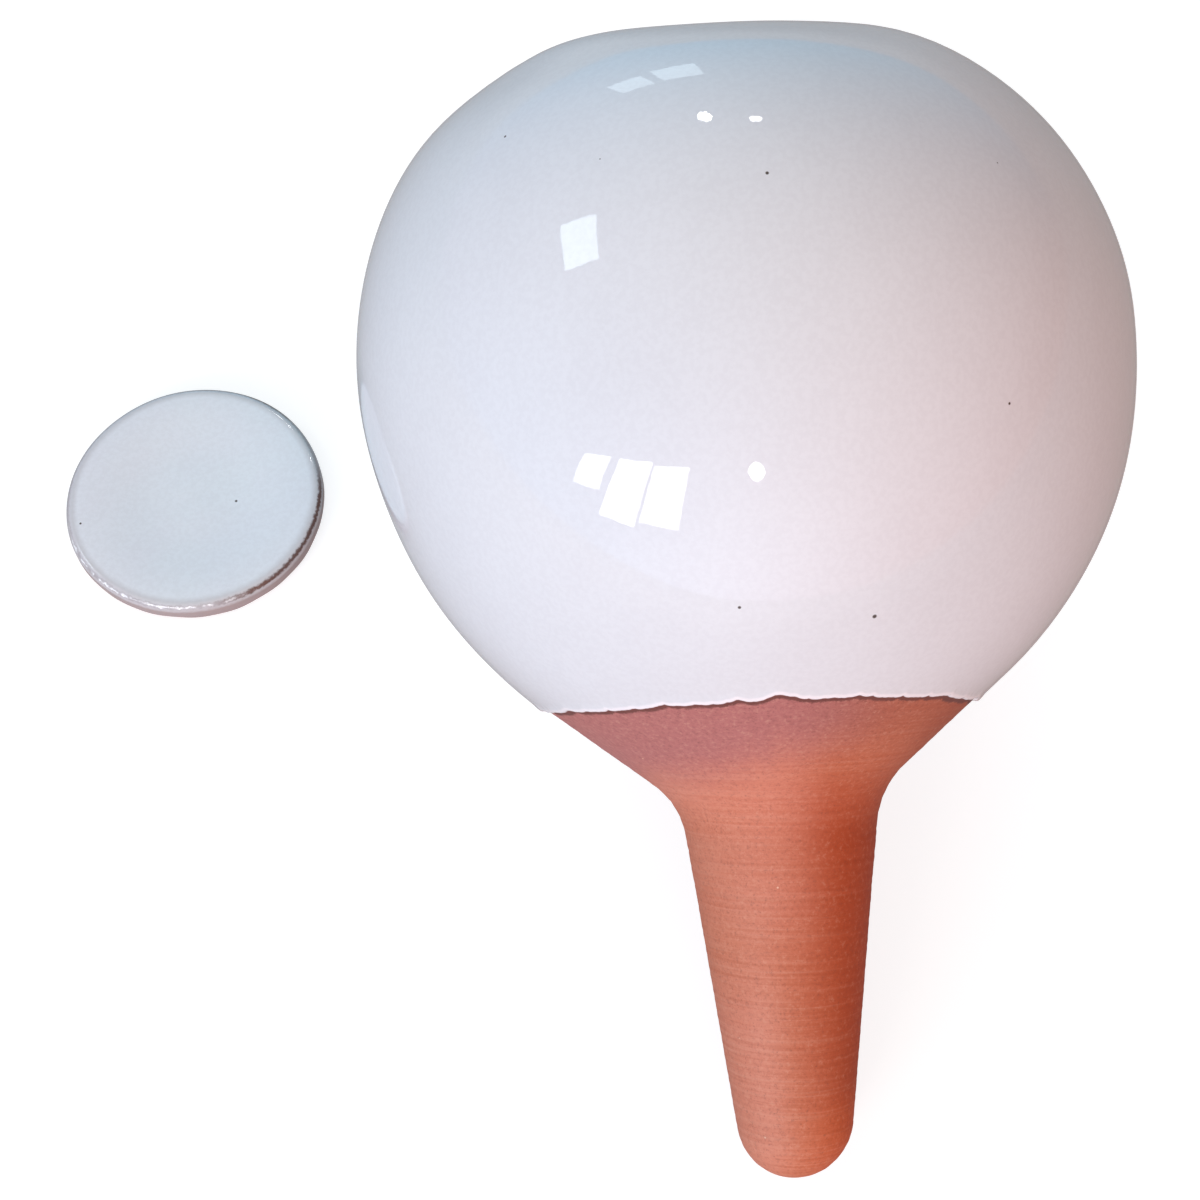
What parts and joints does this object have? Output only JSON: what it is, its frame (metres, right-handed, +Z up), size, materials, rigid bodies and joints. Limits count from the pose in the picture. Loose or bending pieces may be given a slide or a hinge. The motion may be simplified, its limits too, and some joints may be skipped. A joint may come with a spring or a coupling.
{
  "type": "terracotta olla",
  "caption": "Watering olla of fired clay, a white-glazed hollow ball running into a bare porous spike that is pushed into soil, lying on its side with its loose disc lid beside it.",
  "frame": {"origin": "on the surface that the vessel and the lid lie on, under the middle of the whole", "axes": "+Z up, +Y along the vessel's axis in plan, from the spike to the mouth, +X from the lid towards the vessel"},
  "size_m": [0.1814, 0.171, 0.1204],
  "materials": {
    "terracotta": "bare fired clay, matt, fine turning lines",
    "white_glaze": "glossy white glaze with a few pinholes"
  },
  "bodies": {
    "vessel": {"globe_shell": "terracotta", "spike": "terracotta", "globe_glaze": "white_glaze"},
    "lid": {"lid_disc": "terracotta", "lid_glaze": "white_glaze"}
  },
  "joints": [
    {"name": "lid_lift", "type": "slide", "parent": "vessel", "child": "lid", "axis": [0, 0, 1], "range_m": [0, 0.15]}
  ]
}
